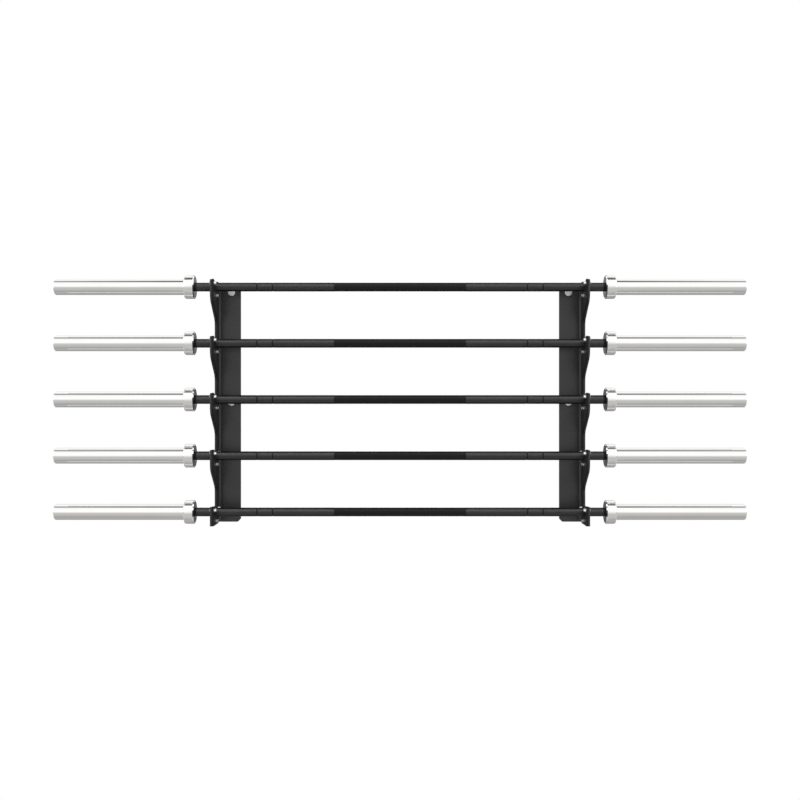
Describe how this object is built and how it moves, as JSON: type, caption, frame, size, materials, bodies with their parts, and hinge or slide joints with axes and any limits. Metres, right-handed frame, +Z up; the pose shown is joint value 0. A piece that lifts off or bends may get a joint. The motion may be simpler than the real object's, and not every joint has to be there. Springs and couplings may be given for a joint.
{
  "type": "barbell storage rack",
  "caption": "Wall-mounted rack of two hooked steel uprights with plastic liners, loaded with barbells that lift out and have turning sleeves.",
  "frame": {"origin": "wall plane, midway between the uprights, level with the middle barbell's axis", "axes": "+X right, +Y towards the wall, +Z up"},
  "size_m": [2.2, 0.1444, 0.7954],
  "materials": {
    "black_powder_coat": "satin",
    "black_plastic": "matte",
    "zinc": "satin",
    "black_oxide": "satin",
    "hard_chrome": "polished",
    "bronze": "satin"
  },
  "bodies": {
    "rack": {"left_upright": "black_powder_coat", "left_liner": "black_plastic", "left_liner_front_bolt_1": "zinc", "left_liner_lower_bolt_1": "zinc", "left_liner_front_bolt_2": "zinc", "left_liner_lower_bolt_2": "zinc", "left_liner_front_bolt_3": "zinc", "left_liner_lower_bolt_3": "zinc", "left_liner_front_bolt_4": "zinc", "left_liner_lower_bolt_4": "zinc", "left_liner_front_bolt_5": "zinc", "left_liner_lower_bolt_5": "zinc", "left_wall_bolt_1": "zinc", "left_wall_bolt_2": "zinc", "left_wall_bolt_3": "zinc", "right_upright": "black_powder_coat", "right_liner": "black_plastic", "right_liner_front_bolt_1": "zinc", "right_liner_lower_bolt_1": "zinc", "right_liner_front_bolt_2": "zinc", "right_liner_lower_bolt_2": "zinc", "right_liner_front_bolt_3": "zinc", "right_liner_lower_bolt_3": "zinc", "right_liner_front_bolt_4": "zinc", "right_liner_lower_bolt_4": "zinc", "right_liner_front_bolt_5": "zinc", "right_liner_lower_bolt_5": "zinc", "right_wall_bolt_1": "zinc", "right_wall_bolt_2": "zinc", "right_wall_bolt_3": "zinc"},
    "bar_1": {"shaft_1": "black_oxide"},
    "left_end_1": {"left_sleeve_1": "hard_chrome", "left_bushing_1": "bronze"},
    "right_end_1": {"right_sleeve_1": "hard_chrome", "right_bushing_1": "bronze"},
    "bar_2": {"shaft_2": "black_oxide"},
    "left_end_2": {"left_sleeve_2": "hard_chrome", "left_bushing_2": "bronze"},
    "right_end_2": {"right_sleeve_2": "hard_chrome", "right_bushing_2": "bronze"},
    "bar_3": {"shaft_3": "black_oxide"},
    "left_end_3": {"left_sleeve_3": "hard_chrome", "left_bushing_3": "bronze"},
    "right_end_3": {"right_sleeve_3": "hard_chrome", "right_bushing_3": "bronze"},
    "bar_4": {"shaft_4": "black_oxide"},
    "left_end_4": {"left_sleeve_4": "hard_chrome", "left_bushing_4": "bronze"},
    "right_end_4": {"right_sleeve_4": "hard_chrome", "right_bushing_4": "bronze"},
    "bar_5": {"shaft_5": "black_oxide"},
    "left_end_5": {"left_sleeve_5": "hard_chrome", "left_bushing_5": "bronze"},
    "right_end_5": {"right_sleeve_5": "hard_chrome", "right_bushing_5": "bronze"}
  },
  "joints": [
    {"name": "bar_1_lift", "type": "slide", "parent": "rack", "child": "bar_1", "axis": [0, 0, 1], "range_m": [0, 0.045]},
    {"name": "left_sleeve_1_turn", "type": "hinge", "parent": "bar_1", "child": "left_end_1", "pos_m": [-0.69, -0.0924, 0.3586], "axis": [1, 0, 0], "continuous": true},
    {"name": "right_sleeve_1_turn", "type": "hinge", "parent": "bar_1", "child": "right_end_1", "pos_m": [0.69, -0.0924, 0.3586], "axis": [1, 0, 0], "continuous": true},
    {"name": "bar_2_lift", "type": "slide", "parent": "rack", "child": "bar_2", "axis": [0, 0, 1], "range_m": [0, 0.045]},
    {"name": "left_sleeve_2_turn", "type": "hinge", "parent": "bar_2", "child": "left_end_2", "pos_m": [-0.69, -0.0924, 0.1793], "axis": [1, 0, 0], "continuous": true},
    {"name": "right_sleeve_2_turn", "type": "hinge", "parent": "bar_2", "child": "right_end_2", "pos_m": [0.69, -0.0924, 0.1793], "axis": [1, 0, 0], "continuous": true},
    {"name": "bar_3_lift", "type": "slide", "parent": "rack", "child": "bar_3", "axis": [0, 0, 1], "range_m": [0, 0.045]},
    {"name": "left_sleeve_3_turn", "type": "hinge", "parent": "bar_3", "child": "left_end_3", "pos_m": [-0.69, -0.0924, 0], "axis": [1, 0, 0], "continuous": true},
    {"name": "right_sleeve_3_turn", "type": "hinge", "parent": "bar_3", "child": "right_end_3", "pos_m": [0.69, -0.0924, 0], "axis": [1, 0, 0], "continuous": true},
    {"name": "bar_4_lift", "type": "slide", "parent": "rack", "child": "bar_4", "axis": [0, 0, 1], "range_m": [0, 0.045]},
    {"name": "left_sleeve_4_turn", "type": "hinge", "parent": "bar_4", "child": "left_end_4", "pos_m": [-0.69, -0.0924, -0.1793], "axis": [1, 0, 0], "continuous": true},
    {"name": "right_sleeve_4_turn", "type": "hinge", "parent": "bar_4", "child": "right_end_4", "pos_m": [0.69, -0.0924, -0.1793], "axis": [1, 0, 0], "continuous": true},
    {"name": "bar_5_lift", "type": "slide", "parent": "rack", "child": "bar_5", "axis": [0, 0, 1], "range_m": [0, 0.045]},
    {"name": "left_sleeve_5_turn", "type": "hinge", "parent": "bar_5", "child": "left_end_5", "pos_m": [-0.69, -0.0924, -0.3586], "axis": [1, 0, 0], "continuous": true},
    {"name": "right_sleeve_5_turn", "type": "hinge", "parent": "bar_5", "child": "right_end_5", "pos_m": [0.69, -0.0924, -0.3586], "axis": [1, 0, 0], "continuous": true}
  ]
}
